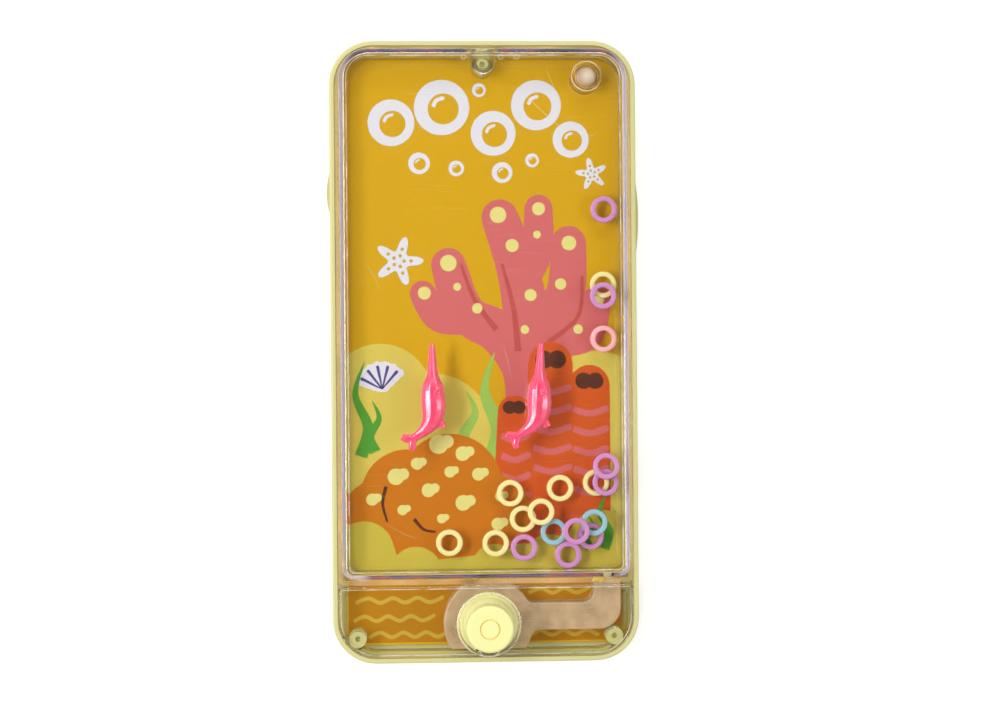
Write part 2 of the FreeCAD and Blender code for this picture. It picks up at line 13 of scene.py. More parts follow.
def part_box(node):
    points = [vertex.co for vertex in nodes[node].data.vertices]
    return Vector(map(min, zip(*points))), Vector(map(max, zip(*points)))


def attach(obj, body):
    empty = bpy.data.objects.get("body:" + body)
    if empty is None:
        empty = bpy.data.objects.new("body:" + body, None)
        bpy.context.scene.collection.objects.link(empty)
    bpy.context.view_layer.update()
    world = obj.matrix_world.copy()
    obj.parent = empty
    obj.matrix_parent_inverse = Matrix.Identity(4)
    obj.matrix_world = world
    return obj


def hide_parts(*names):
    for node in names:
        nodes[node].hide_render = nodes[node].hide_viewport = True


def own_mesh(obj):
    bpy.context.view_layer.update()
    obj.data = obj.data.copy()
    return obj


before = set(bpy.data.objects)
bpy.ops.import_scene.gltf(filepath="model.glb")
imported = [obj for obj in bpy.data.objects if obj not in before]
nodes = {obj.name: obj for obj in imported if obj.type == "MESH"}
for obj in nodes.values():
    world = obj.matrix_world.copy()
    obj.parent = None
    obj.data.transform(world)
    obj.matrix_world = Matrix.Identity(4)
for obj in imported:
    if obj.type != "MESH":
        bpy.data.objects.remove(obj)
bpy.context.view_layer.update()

mm = 0.001

# %% [markdown]
# The picture is taken from straight above the window, by a camera about 40 cm away. The toy is turned by a
# few degrees under it, so the camera leans over to the toy's left and rolls a little. Working these out
# first means that every later step can be judged in the final frame.
# %% Place the camera
CAMERA_REACH = 400 * mm
CAMERA_TARGET = Vector((3.54 * mm, -0.5 * mm, 9 * mm))
CAMERA_LEAN = math.radians(2.56)
CAMERA_ROLL = math.radians(-0.46)
CAMERA_LENS = 63.05


def place_camera():
    back = Vector((-math.sin(CAMERA_LEAN), 0, math.cos(CAMERA_LEAN)))
    right = Vector((math.cos(CAMERA_LEAN), 0, math.sin(CAMERA_LEAN)))
    turn = Matrix((right, Vector((0, 1, 0)), back)).transposed() @ Matrix.Rotation(CAMERA_ROLL, 3, "Z")
    bpy.ops.object.camera_add(location=CAMERA_TARGET + CAMERA_REACH * back, rotation=turn.to_euler())
    camera = bpy.context.object
    camera.name = "photo_camera"
    camera.data.lens = CAMERA_LENS
    camera.data.clip_start = 5 * mm
    camera.data.clip_end = 5.0
    bpy.context.scene.camera = camera
    return camera


bpy.ops.object.select_all(action="DESELECT")
camera = place_camera()
print("camera at", [round(v / mm) for v in camera.location], "mm")

# %% [markdown]
# Colours are given as screen values from 0 to 255. Shaders want linear light, so one helper turns them. The others
# each add and wire one small thing, such as a sum, a mix of colours or a bump, so that a finish reads as a few lines.
# One makes a node group with named sockets, because several finishes share the same scratches and mottling.
# %% Colour and material helpers


def tint(red, green, blue):
    """Screen values as a linear colour."""
    linear = []
    for value in (red, green, blue):
        share = value / 255
        linear.append(share / 12.92 if share <= 0.04045 else ((share + 0.055) / 1.055) ** 2.4)
    return (*linear, 1.0)


def new_material(name, **settings):
    """A material, its nodes and its links, with those settings on its Principled shader."""
    material = bpy.data.materials.new(name)
    material.use_nodes = True
    tree_nodes = material.node_tree.nodes
    set_up(tree_nodes["Principled BSDF"], settings)
    return material, tree_nodes, material.node_tree.links


def add_node(tree_nodes, kind, **settings):
    return set_up(tree_nodes.new(kind), settings)


def set_up(node, settings):
    """Settings that are the node's own properties are set on it, and the rest on its sockets."""
    for name, value in settings.items():
        if hasattr(node, name):
            setattr(node, name, value)
        else:
            node.inputs[name.replace("_", " ")].default_value = value
    return node


def computed(tree_nodes, links, operation, *values):
    """The result of a Math node on those values, each a number or another node's output."""
    node = add_node(tree_nodes, "ShaderNodeMath", operation=operation)
    for socket, value in zip(node.inputs, values):
        if isinstance(value, (int, float)):
            socket.default_value = value
        else:
            links.new(value, socket)
    return node.outputs[0]


def ranged(tree_nodes, links, value, reading, result=(0.0, 1.0)):
    """The value brought from one range to another, and held inside it."""
    node = add_node(tree_nodes, "ShaderNodeMapRange", From_Min=reading[0], From_Max=reading[1])
    node.inputs["To Min"].default_value, node.inputs["To Max"].default_value = result
    links.new(value, node.inputs["Value"])
    return node.outputs["Result"]


def mix_colours(tree_nodes, links, low, high, factor):
    """Two colours mixed. The low one may also be another node's output."""
    mix = add_node(tree_nodes, "ShaderNodeMix", data_type="RGBA")
    if isinstance(low, tuple):
        mix.inputs["A"].default_value = low
    else:
        links.new(low, mix.inputs["A"])
    mix.inputs["B"].default_value = high
    links.new(factor, mix.inputs["Factor"])
    return mix.outputs["Result"]


def on_piece(tree_nodes, links, kind, **settings):
    """A node that reads its place on the piece, so that what it draws moves with the piece."""
    place = tree_nodes.new("ShaderNodeTexCoord")
    node = add_node(tree_nodes, kind, **settings)
    links.new(place.outputs["Object"], node.inputs["Vector"])
    return node


def bumped(tree_nodes, links, height, strength, distance, below=None):
    """A bump on the piece's skin, over the one below it if there is one."""
    relief = add_node(tree_nodes, "ShaderNodeBump", Strength=strength, Distance=distance)
    links.new(height, relief.inputs["Height"])
    if below is not None:
        links.new(below, relief.inputs["Normal"])
    links.new(relief.outputs["Normal"], tree_nodes["Principled BSDF"].inputs["Normal"])
    return relief.outputs["Normal"]


def node_group(name, inputs, outputs):
    """An empty shader node group with number sockets, its way in and its way out."""
    group = bpy.data.node_groups.new(name, "ShaderNodeTree")
    for label, value in inputs.items():
        socket = group.interface.new_socket(name=label, in_out="INPUT", socket_type="NodeSocketFloat")
        socket.default_value = value
    for label in outputs:
        group.interface.new_socket(name=label, in_out="OUTPUT", socket_type="NodeSocketFloat")
    return group, group.nodes.new("NodeGroupInput"), group.nodes.new("NodeGroupOutput")


def use_group(tree_nodes, group, **values):
    node = tree_nodes.new("ShaderNodeGroup")
    node.node_tree = group
    for name, value in values.items():
        node.inputs[name].default_value = value
    return node


print("white is", [round(v, 3) for v in tint(255, 255, 255)])

# %% [markdown]
# Clear plastic that has been in a toy box is covered in hairlines. A cell texture squeezed hard along one
# axis has very long, very thin spots, which is just what a scratch is. Three such layers at different
# angles are added up, and a slow noise keeps them in patches.
# %% Group: hairline scratches
SCRATCH_ANGLES = (0.4, 1.35, 2.5)


def make_scratches():
    group, way_in, way_out = node_group("hairline_scratches", {"Density": 1.0, "Reach": 0.05}, ["Mask"])
    inner, links = group.nodes, group.links
    total = 0.0
    for index, angle in enumerate(SCRATCH_ANGLES):
        turned = on_piece(inner, links, "ShaderNodeMapping", Rotation=(0, 0, angle), Scale=(16, 1500, 1))
        turned.inputs["Location"].default_value = (index * 3.3, index * 7.1, 0)
        cells = add_node(inner, "ShaderNodeTexVoronoi", voronoi_dimensions="2D", Scale=1.0)
        links.new(turned.outputs["Vector"], cells.inputs["Vector"])
        hit = computed(inner, links, "LESS_THAN", cells.outputs["Distance"], way_in.outputs["Reach"])
        total = computed(inner, links, "MAXIMUM", total, hit)
    patches = on_piece(inner, links, "ShaderNodeTexNoise", Scale=55.0, Detail=2.0)
    patchy = ranged(inner, links, patches.outputs["Fac"], (0.45, 0.65))
    masked = computed(inner, links, "MULTIPLY", total, patchy)
    links.new(computed(inner, links, "MULTIPLY", masked, way_in.outputs["Density"]), way_out.inputs["Mask"])
    return group


scratches = make_scratches()
print("scratches group has", len(scratches.nodes), "nodes")

# %% [markdown]
# Moulded plastic is never one even colour: there are faint flow clouds a centimetre wide and a fine
# orange-peel texture. This group gives both, as numbers round one half.
# %% Group: moulded mottling


def make_mottling():
    scales = {"Cloud scale": 60.0, "Peel scale": 1400.0}
    group, way_in, way_out = node_group("moulded_mottling", scales, ["Clouds", "Peel"])
    inner, links = group.nodes, group.links
    for scale, label, detail in (("Cloud scale", "Clouds", 3.0), ("Peel scale", "Peel", 2.0)):
        noise = on_piece(inner, links, "ShaderNodeTexNoise", Detail=detail)
        links.new(way_in.outputs[scale], noise.inputs["Scale"])
        links.new(noise.outputs["Fac"], way_out.inputs[label])
    return group


mottling = make_mottling()
print("mottling group ready")

# %% [markdown]
# Most pieces are plain moulded plastic or rubber, so one function makes them all: a colour that the clouds
# push a little lighter and darker, a roughness that the peel and the scratches disturb, and a shallow
# bump. Pieces differ only in the values handed in. The shell is thin and pale, so it lets some of the
# light through, which keeps the card bright beside it.
# %% Moulded plastic


def shifted(colour, share):
    return (*[min(1.0, max(0.0, channel * share)) for channel in colour[:3]], 1.0)


def near_mask(tree_nodes, links, centre, near, far):
    """One close to that place on the piece and none far from it."""
    reach = on_piece(tree_nodes, links, "ShaderNodeVectorMath", operation="DISTANCE")
    reach.inputs[1].default_value = centre
    return ranged(tree_nodes, links, reach.outputs["Value"], (near, far), (1.0, 0.0))


def clouded(tree_nodes, links, colour, spread, clouds):
    """Gives the piece its colour, which the clouds push lighter and darker by that share."""
    base = mix_colours(tree_nodes, links, shifted(colour, 1 - spread), shifted(colour, 1 + spread), clouds)
    links.new(base, tree_nodes["Principled BSDF"].inputs["Base Color"])


def moulded(name, colour, roughness, spread=0.05, wear=0.3, **settings):
    material, tree, links = new_material(name, **settings)
    pattern = use_group(tree, mottling)
    hairlines = use_group(tree, scratches, Density=wear, Reach=0.06)
    clouded(tree, links, colour, spread, pattern.outputs["Clouds"])
    rough = computed(tree, links, "MULTIPLY_ADD", pattern.outputs["Peel"], 0.12, roughness - 0.06)
    worn = computed(tree, links, "ADD", rough, hairlines.outputs["Mask"])
    links.new(worn, tree["Principled BSDF"].inputs["Roughness"])
    bumped(tree, links, pattern.outputs["Peel"], 0.1, 0.02 * mm)
    return material


def lets_light(material, colour, share=1.0):
    """Passes that share of the light on to what is behind, and leaves the piece's own looks alone."""
    tree, links = material.node_tree.nodes, material.node_tree.links
    through = add_node(tree, "ShaderNodeBsdfTransparent", Color=colour)
    path = tree.new("ShaderNodeLightPath")
    passed = computed(tree, links, "MAXIMUM", path.outputs["Is Shadow Ray"], path.outputs["Is Diffuse Ray"])
    if share < 1:
        passed = computed(tree, links, "MULTIPLY", passed, share)
    either = tree.new("ShaderNodeMixShader")
    links.new(passed, either.inputs["Fac"])
    links.new(tree["Principled BSDF"].outputs["BSDF"], either.inputs[1])
    links.new(through.outputs["BSDF"], either.inputs[2])
    links.new(either.outputs["Shader"], tree["Material Output"].inputs["Surface"])


# Painted shade: the shell's lemon is set darker than the button's, which is the same plastic, as its top faces look
# in shade.
SHADED_LEMON = tint(203, 198, 138)
DEPTH = {"Subsurface_Weight": 0.15, "Subsurface_Radius": (1.2 * mm, 1.0 * mm, 0.4 * mm)}
shell_plastic = moulded("shell_lemon", SHADED_LEMON, 0.38, spread=0.03, **DEPTH)
lets_light(shell_plastic, (1.0, 0.98, 0.85, 1), 0.6)
bellows_rubber = moulded("bellows_lemon", tint(224, 220, 152), 0.45, wear=0.1)
print("opaque plastics made")

# %% [markdown]
# Clear plastic is glass to the renderer: full transmission and a refractive index of 1.49. Light would be
# blocked by it, so for the rays that carry light it turns transparent. The mould leaves slow waves in the
# faces, which bend what is behind the walls' edges, and the hairlines roughen it.
# %% Clear plastic
CLEAR_IOR = 1.49
CLEAR_SHADE = 0.97
CLEAR_ROUGHNESS = 0.03


def clear(name, colour, waves=0.16, wear=0.6):
    material, tree, links = new_material(name, Base_Color=colour, Transmission_Weight=1.0, IOR=CLEAR_IOR)
    hairlines = use_group(tree, scratches, Density=wear, Reach=0.05)
    rough = computed(tree, links, "MULTIPLY_ADD", hairlines.outputs["Mask"], 0.35, CLEAR_ROUGHNESS)
    links.new(rough, tree["Principled BSDF"].inputs["Roughness"])
    pattern = use_group(tree, mottling, **{"Cloud scale": 160.0})
    bumped(tree, links, pattern.outputs["Clouds"], waves, 0.25 * mm)
    lets_light(material, (CLEAR_SHADE, CLEAR_SHADE, CLEAR_SHADE * 0.98, 1))
    return material


window_clear = clear("clear_window", (0.985, 0.985, 0.95, 1))
cover_clear = clear("clear_cover", (0.98, 0.975, 0.93, 1), wear=0.8)
plate_clear = clear("clear_back_plate", (0.99, 0.99, 0.96, 1), waves=0.1, wear=0.2)
print("clear plastics made")

# %% [markdown]
# The pump, the plug and the inlet seal are milky: they veil what is behind them without bending it much.
# A see-through coat of pale colour does this better than glass, and stays free of dark inner reflections.
# The clouds make the veil uneven.
# %% Milky plastics


def veiled(name, colour, cover, roughness=0.3, patch=240.0, swing=0.12):
    material, tree, links = new_material(name, Roughness=roughness)
    clouds = use_group(tree, mottling, **{"Cloud scale": patch}).outputs["Clouds"]
    clouded(tree, links, colour, 0.08, clouds)
    veil = ranged(tree, links, clouds, (0.3, 0.7), (cover - swing, cover + swing))
    links.new(veil, tree["Principled BSDF"].inputs["Alpha"])
    bumped(tree, links, clouds, 0.2, 0.05 * mm)
    return material


def painted_highlight_towards(material, centre, reach, pale):
    """Paints the colour lighter towards one place: a painted highlight, as on a thick round end."""
    tree, links = material.node_tree.nodes, material.node_tree.links
    shader = tree["Principled BSDF"]
    plain = shader.inputs["Base Color"].links[0].from_socket
    near = near_mask(tree, links, centre, 0.0, reach)
    links.new(mix_colours(tree, links, plain, pale, near), shader.inputs["Base Color"])


pump_milky = veiled("milky_pump", tint(228, 196, 158), 0.45)
plug_rubber = veiled("milky_plug", tint(196, 160, 128), 0.85, roughness=0.15)
plug_low, plug_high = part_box("filler_plug")
plug_end = ((plug_low.x + plug_high.x) / 2 + 0.4 * mm, (plug_low.y + plug_high.y) / 2 + 0.3 * mm, plug_high.z)
# Painted highlight: the plug's round end is lighter towards its middle.
painted_highlight_towards(plug_rubber, plug_end, 2.2 * mm, tint(244, 232, 214))
grommet_rubber = veiled("milky_grommet", tint(216, 198, 150), 0.5)
print("milky plastics made")

# %% [markdown]
# The button is the shell's plastic with a moulded outline on its face. The colour turns a little darker and more
# orange wherever the face lies a little below its top, near the button's middle.
# %% Button plastic
BUTTON_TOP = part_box("push_button")[1].z
BUTTON_MIDDLE = (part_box("push_button")[0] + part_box("push_button")[1]) / 2


def make_button_plastic():
    material = moulded("button_lemon", tint(230, 228, 156), 0.4, spread=0.03)
    tree, links = material.node_tree.nodes, material.node_tree.links
    shader = tree["Principled BSDF"]
    face_colour = shader.inputs["Base Color"].links[0].from_socket
    middle = (BUTTON_MIDDLE.x, BUTTON_MIDDLE.y, BUTTON_TOP)
    inside = near_mask(tree, links, middle, 3.5 * mm, 3.6 * mm)
    parts = on_piece(tree, links, "ShaderNodeSeparateXYZ")
    sunk = computed(tree, links, "LESS_THAN", parts.outputs["Z"], BUTTON_TOP - 0.05 * mm)
    groove = computed(tree, links, "MULTIPLY", inside, sunk)
    links.new(mix_colours(tree, links, face_colour, tint(240, 218, 134), groove), shader.inputs["Base Color"])
    return material


button_plastic = make_button_plastic()
print("button middle at", [round(v / mm, 1) for v in BUTTON_MIDDLE])

# %% [markdown]
# The line of cured adhesive round the tank is patchy: dark violet and pink along the top and bottom walls, paler
# lilac up the sides. A noise chooses between the colours. Near the lower left corner it is painted nearly white, a
# painted highlight of the tank's rounded corner, and round the bay in the top wall hardly any of it is left.
# %% Violet adhesive


def make_adhesive():
    material, tree, links = new_material("violet_adhesive", Roughness=0.25)
    shader = tree["Principled BSDF"]
    patches = on_piece(tree, links, "ShaderNodeTexNoise", Scale=120.0, Detail=2.0)
    ramp = tree.new("ShaderNodeValToRGB")
    ramp.color_ramp.elements[0].position = 0.38
    ramp.color_ramp.elements[0].color = tint(52, 40, 84)
    ramp.color_ramp.elements[1].position = 0.62
    ramp.color_ramp.elements[1].color = tint(150, 70, 100)
    middle = ramp.color_ramp.elements.new(0.5)
    middle.color = tint(84, 72, 128)
    links.new(patches.outputs["Fac"], ramp.inputs["Fac"])
    parts = on_piece(tree, links, "ShaderNodeSeparateXYZ")
    side = computed(tree, links, "ABSOLUTE", parts.outputs["X"])
    at_side = ranged(tree, links, side, (29 * mm, 31.5 * mm))
    colour = mix_colours(tree, links, ramp.outputs["Color"], tint(196, 184, 226), at_side)
    # Painted highlight: nearly white near the tank's lower left corner.
    corner_highlight = near_mask(tree, links, (-31.6 * mm, -50.4 * mm, 4 * mm), 2.0 * mm, 5.5 * mm)
    links.new(mix_colours(tree, links, colour, tint(240, 226, 236), corner_highlight), shader.inputs["Base Color"])
    at_bay = near_mask(tree, links, (0, 66.5 * mm, 4 * mm), 3.6 * mm, 5.0 * mm)
    links.new(computed(tree, links, "MULTIPLY_ADD", at_bay, -0.95, 1.0), shader.inputs["Alpha"])
    return material


adhesive = make_adhesive()
print("adhesive made")

# %% [markdown]
# The pegs are hot pink with a pearl in it: fine flakes under a clear skin. A cell texture tilts the flakes
# through the bump, a little metal makes them flash, and a coat lies over them. A coarser bump gives the
# uneven skin that breaks up the highlights of so small a moulding.
# %% Pearly pink
PEARL = {
    "Roughness": 0.28,
    "Metallic": 0.15,
    "Coat_Weight": 0.8,
    "Coat_Roughness": 0.08,
    "Sheen_Weight": 0.3,
    "Sheen_Tint": tint(255, 190, 240),
}


def make_pearl():
    material, tree, links = new_material("pearly_pink", **PEARL)
    flakes = on_piece(tree, links, "ShaderNodeTexVoronoi", Scale=6000.0)
    swirl = on_piece(tree, links, "ShaderNodeTexNoise", Scale=500.0, Detail=3.0, Distortion=1.5)
    uneven = on_piece(tree, links, "ShaderNodeTexNoise", Scale=900.0, Detail=1.0)
    base = mix_colours(tree, links, tint(255, 40, 90), tint(255, 98, 144), swirl.outputs["Fac"])
    links.new(base, tree["Principled BSDF"].inputs["Base Color"])
    flaky = bumped(tree, links, flakes.outputs["Distance"], 0.15, 0.03 * mm)
    bumped(tree, links, uneven.outputs["Fac"], 0.7, 0.16 * mm, below=flaky)
    return material


pearl = make_pearl()
print("pearl made")

# %% [markdown]
# The rings are small low-gloss mouldings.
# %% Ring plastics
RING_COLOURS = {
    "cream": tint(240, 228, 160),
    "orchid": tint(205, 138, 200),
    "blue": tint(148, 190, 210),
    "pink": tint(244, 176, 186),
}
ring_plastics = {}
for name, colour in RING_COLOURS.items():
    ring_plastics[name] = moulded("ring_" + name, colour, 0.36, wear=0.1)
print("ring plastics:", ", ".join(ring_plastics))

# %% [markdown]
# The card is offset-printed: a flat amber, with a fine grain from the paper and the dots of ink. The same
# grain goes into every ink, so one function makes all of them.
# %% Printed inks
INK_GRAIN = 0.05


def ink(name, colour):
    material, tree, links = new_material(name, Roughness=0.55, Specular_IOR_Level=0.2)
    dots = on_piece(tree, links, "ShaderNodeTexNoise", Scale=2600.0, Detail=1.0)
    clouded(tree, links, colour, INK_GRAIN, dots.outputs["Fac"])
    return material


INKS = {
    "amber": (219, 168, 8),
    "shade_orange": (185, 125, 4),
    "dune": (223, 202, 95),
    "sand": (209, 188, 72),
    "coral": (216, 108, 114),
    "deep_coral": (196, 84, 84),
    "rust": (214, 88, 26),
    "orange": (206, 118, 8),
    "pale_spot": (234, 224, 142),
    "leaf": (82, 158, 52),
    "light_leaf": (158, 198, 92),
    "khaki": (203, 168, 62),
    "paper": (233, 230, 254),
    "brown": (88, 44, 28),
    "violet": (84, 74, 150),
}
inks = {name: ink("ink_" + name, tint(*value)) for name, value in INKS.items()}
print(len(inks), "inks mixed")

# %% [markdown]
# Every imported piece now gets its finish. A node keeps its mesh, and only its material slots change.
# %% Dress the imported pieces
FINISHES = {
    "rear_cover": shell_plastic,
    "printed_card": inks["amber"],
    "tank_back": plate_clear,
    "tank_seal": adhesive,
    "tank_front": window_clear,
    "lower_cover": cover_clear,
    "swordfish_peg_left": pearl,
    "swordfish_peg_right": pearl,
    "pump_base": pump_milky,
    "pump_top": pump_milky,
    "inlet_grommet": grommet_rubber,
    "pump_bellows": bellows_rubber,
    "push_button": button_plastic,
    "filler_plug": plug_rubber,
}
for name in nodes:
    if name.startswith("ring_"):
        FINISHES[name] = ring_plastics[name.split("_")[1]]


def dress(name, material):
    mesh = nodes[name].data
    mesh.materials.clear()
    mesh.materials.append(material)


for name, material in FINISHES.items():
    dress(name, material)
print("dressed", len(FINISHES), "of", len(nodes), "nodes")

# %% [markdown]
# The picture on the card is a sea bed in flat colours. Each shape is a thin film of ink lying on the card,
# so it is real geometry that the window bends as it bends the card. Nearly all of the shapes are bunches
# of round lobes, and their outline is worked out by looking outwards from a middle point: in each
# direction the edge is the farthest point of any lobe. The first helpers pick, join, outline, raise and
# lay pieces of any kind, and later cells use them too.
# %% Film of ink
CARD_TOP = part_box("printed_card")[1].z
FILM_THICK = 0.008 * mm
FILM_STEP = 0.012 * mm
CARD_EDGE = 31.6
CARD_END = 67.2


def pick(*pieces):
    """Deselects all, then selects these pieces and makes the first one active."""
    bpy.ops.object.select_all(action="DESELECT")
    for piece in pieces:
        piece.select_set(True)
    bpy.context.view_layer.objects.active = pieces[0]


def joined(pieces):
    """Joins the pieces into the first, and leaves it at the origin, unturned and unscaled."""
    pick(*pieces)
    bpy.ops.object.join()
    bpy.ops.object.transform_apply(location=True, rotation=True, scale=True)
    return bpy.context.object


def laid(piece, name, material, body="casing"):
    """Gives a piece its name, its finish and the body that it rides on."""
    piece.name = name
    piece.data.name = name
    piece.data.materials.clear()
    piece.data.materials.append(material)
    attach(piece, body)
    print(name, "has", len(piece.data.polygons), "faces")


def outlined(points, height, fill="NOTHING"):
    """A closed line through points in mm at that height, left open inside or filled with one face."""
    bpy.ops.object.select_all(action="DESELECT")
    bpy.ops.mesh.primitive_circle_add(vertices=len(points), radius=1.0, fill_type=fill)
    piece = bpy.context.object
    for vertex, (x, y) in zip(piece.data.vertices, points):
        vertex.co = (x * mm, y * mm, height)
    return piece


def raised(rise):
    """In edit mode, draws all faces up into a closed solid, turns them outwards and leaves the mode."""
    bpy.ops.mesh.select_all(action="SELECT")
    bpy.ops.mesh.extrude_region_move(TRANSFORM_OT_translate={"value": (0, 0, rise)})
    bpy.ops.mesh.select_all(action="SELECT")
    bpy.ops.mesh.normals_make_consistent(inside=False)
    bpy.ops.object.mode_set(mode="OBJECT")


def lobed(centre, lobes, floor=-CARD_END, count=120):
    """The outline, seen from centre, of discs (x, y, radius), kept on the card and above floor."""
    outline = []
    for step in range(count):
        angle = 2 * math.pi * step / count
        along = Vector((math.cos(angle), math.sin(angle)))
        reach = 0.0
        for x, y, radius in lobes:
            offset = Vector((x, y)) - Vector(centre)
            ahead = offset.dot(along)
            aside = offset.length_squared - ahead * ahead
            if aside < radius * radius:
                reach = max(reach, ahead + math.sqrt(radius * radius - aside))
        point = Vector(centre) + along * reach
        x = min(CARD_EDGE, max(-CARD_EDGE, point.x))
        y = min(CARD_END, max(floor, point.y))
        outline.append((x, y))
    return outline


def film(outline, layer):
    """One closed film of ink with that outline in mm, at that layer above the card."""
    piece = outlined(outline, CARD_TOP + FILM_STEP * (layer + 0.4), fill="NGON")
    bpy.ops.object.mode_set(mode="EDIT")
    raised(FILM_THICK)
    return piece


def printed(name, films, colour):
    """Makes films of one colour one printed piece, which rides on the casing with the card."""
    laid(joined(films), name, inks[colour])


def disc(x, y, radius, count=40):
    return lobed((x, y), [(x, y, radius)], count=count)


print("card top at", round(CARD_TOP / mm, 2), "mm")

# %% [markdown]
# Corals, sponges and weed are strokes rather than lobes: a band that follows a smooth line, with its own width at
# each end and a round tip. The line goes through its few points by the Catmull-Rom rule, which is the usual way to
# get a curve through listed points.
# %% Stroke of ink


def smooth_line(points, steps=9):
    points = [Vector(p) for p in points]
    line = []
    for index in range(len(points) - 1):
        run = [points[min(max(i, 0), len(points) - 1)] for i in range(index - 1, index + 3)]
        before, start, end, after = run
        for step in range(steps):
            t = step / steps
            bend = 2 * before - 5 * start + 4 * end - after
            twist = 3 * start - before - 3 * end + after
            line.append(start + (end - before) * t / 2 + bend * t**2 / 2 + twist * t**3 / 2)
    return line + [points[-1]]


def stroke(points, start_width, end_width, cap=9, pointed=False):
    line = smooth_line(points)
    left, right = [], []
    for index, point in enumerate(line):
        share = index / (len(line) - 1)
        along = (line[min(index + 1, len(line) - 1)] - line[max(index - 1, 0)]).normalized()
        across = Vector((-along.y, along.x))
        half = (start_width + (end_width - start_width) * share) / 2
        if pointed:
            half *= 1 - share**3
        left.append(point + across * half)
        right.append(point - across * half)
    tip = []
    if not pointed:
        for step in range(1, cap):
            angle = math.pi * step / cap
            tip.append(line[-1] + (across * math.cos(angle) + along * math.sin(angle)) * half)
    return [(p.x, p.y) for p in left + tip + right[::-1]]


print("a stroke has", len(stroke([(0, 0), (0, 9)], 2, 1)), "points")

# %% [markdown]
# Back to front: a deeper orange over the lower panel, which is painted shade where the lower cover lies over the
# card, and the far dunes, then a branching coral, tube sponges and a spotted mound, and sand and weed in front. A
# card of this kind has a few big flat shapes with small light spots, so the sizes and the colours keep to that.
# %% Print: dunes, and painted shade on the lower panel
# Painted shade: a deeper orange film where the lower cover lies over the card.
panel = [(-31.6, -67.2), (31.6, -67.2), (31.6, -53.0), (-31.6, -53.0)]
printed("painted_shade_lower_panel", [film(panel, 0)], "shade_orange")
DUNES = [
    ((-18, -30), [(-24, -10, 12), (-12, -19, 14), (-28, -28, 16), (-10, -34, 18), (-22, -38, 16)], 0),
    ((18, -36), [(26, -12, 12), (14, -24, 14), (28, -34, 15), (6, -38, 16)], 1),
]
dunes = [film(lobed(centre, lobes, -52.6), layer) for centre, lobes, layer in DUNES]
printed("print_dunes", dunes, "dune")

# %% Print: branching coral
ROOT = (11, -20)
BRANCHES = [
    ([ROOT, (11, -6), (10, 8), (8, 19), (4, 31)], 13, 8.5),
    ([ROOT, (11.5, -5), (14, 7), (19, 13), (20, 25)], 12, 8),
    ([ROOT, (13, -5), (17, 2), (24, 4), (26.5, 12)], 11, 6.5),
    ([ROOT, (10, -5), (4, 4), (-4, 9), (-8, 20)], 12, 8),
    ([(8.5, 16), (12.5, 23), (13, 33)], 8, 6.5),
    ([(-2, 8), (-10, 8), (-14, 13.5)], 8, 6),
]
coral = [film(stroke(*branch), 2 + 0.1 * i) for i, branch in enumerate(BRANCHES)]
printed("print_coral", coral, "coral")
SHADES = [
    ([(8, 0), (7, 10), (4.5, 20)], 1.6),
    ([(15, 2), (22, 8), (23, 17)], 1.3),
    ([(3, 5), (-2, 12), (-5, 20)], 1.4),
]
shades = [film(stroke(points, width, 0.7), 3) for points, width in SHADES]
printed("print_coral_shades", shades, "deep_coral")
CORAL_SPOTS = [
    (3.6, 31.6, 1.9), (6.8, 24.5, 1.5), (13, 33, 1.5), (20, 25, 1.7), (18, 15.5, 1.3), (26.6, 12, 1.5),
    (-8, 20.5, 1.9), (-13.6, 13.6, 1.5), (11, 13, 1.4), (22, 5, 1.1), (-1.4, 10, 1.2), (9.6, 5, 1.0),
    (-6, 15, 0.9), (12.6, 27, 0.9),
]
spots = [film(disc(*spot), 3.2) for spot in CORAL_SPOTS]
printed("print_coral_spots", spots, "pale_spot")

# %% Print: tube sponges
TUBES = [((24, -48), (24.5, -8), 10.5), ((14.5, -48), (15.5, -3), 11.5), ((5.5, -48), (7, -14), 8.5)]


def tube(index, low, high, width):
    """The body, the dark mouth and the pale bands of one sponge."""
    x, y = high
    layer = 4 + 0.2 * index
    body = film(stroke([low, high], width, width * 0.9), layer)
    side = width * 0.13
    lips = [(x - side, y + 1, 1.4 * side), (x + side, y + 1, 1.4 * side)]
    mouth = film(lobed((x, y + 1), lips), 4.9)
    bands = []
    for step in range(5):
        level = y - 5.5 - 4.6 * step
        points = [(x - width * 0.36, level), (x, level - 1.1), (x + width * 0.36, level)]
        bands.append(film(stroke(points, 1.5, 1.5), 4.8))
    return body, mouth, bands


tubes = [tube(index, *values) for index, values in enumerate(TUBES)]
printed("print_tubes", [body for body, mouth, bands in tubes], "rust")
printed("print_tube_mouths", [mouth for body, mouth, bands in tubes], "brown")
printed("print_tube_bands", [band for body, mouth, bands in tubes for band in bands], "coral")

# %% Print: spotted mound
MOUND = [(-8, -31, 12), (2, -37, 8.5), (-18, -33, 10.5), (-25, -37, 7.5), (-14, -41, 10), (-3, -41, 9)]
printed("print_mound", [film(lobed((-11, -36), MOUND, -48.0), 5.2)], "orange")
MOUND_SPOTS = [
    (-5, -23.6, 1.7), (-10.6, -21.4, 2.2), (-15.6, -25.8, 1.4), (-1.4, -28.4, 1.5), (-8, -27.8, 1.3), (-13, -32, 1.6),
    (-20.5, -28.8, 1.9), (-26, -34, 1.4), (-19, -36.5, 1.2), (-5, -35, 1.8), (3.6, -33.6, 1.2), (-10, -38.6, 1.1),
    (3, -40, 1.5),
]
spots = []
for x, y, radius in MOUND_SPOTS:
    lobes = [(x, y, radius), (x + 0.9 * radius, y + 0.3 * radius, 0.7 * radius)]
    spots.append(film(lobed((x, y), lobes), 6))
printed("print_mound_spots", spots, "pale_spot")
CREASES = [[(-22.8, -31), (-23.6, -35), (-22.6, -39)], [(-16.4, -38.6), (-14.2, -41), (-11.6, -41.6)]]
creases = [film(stroke(points, 0.9, 0.5), 6.1) for points in CREASES]
printed("print_mound_creases", creases, "brown")

# %% Print: fan shell and starfish


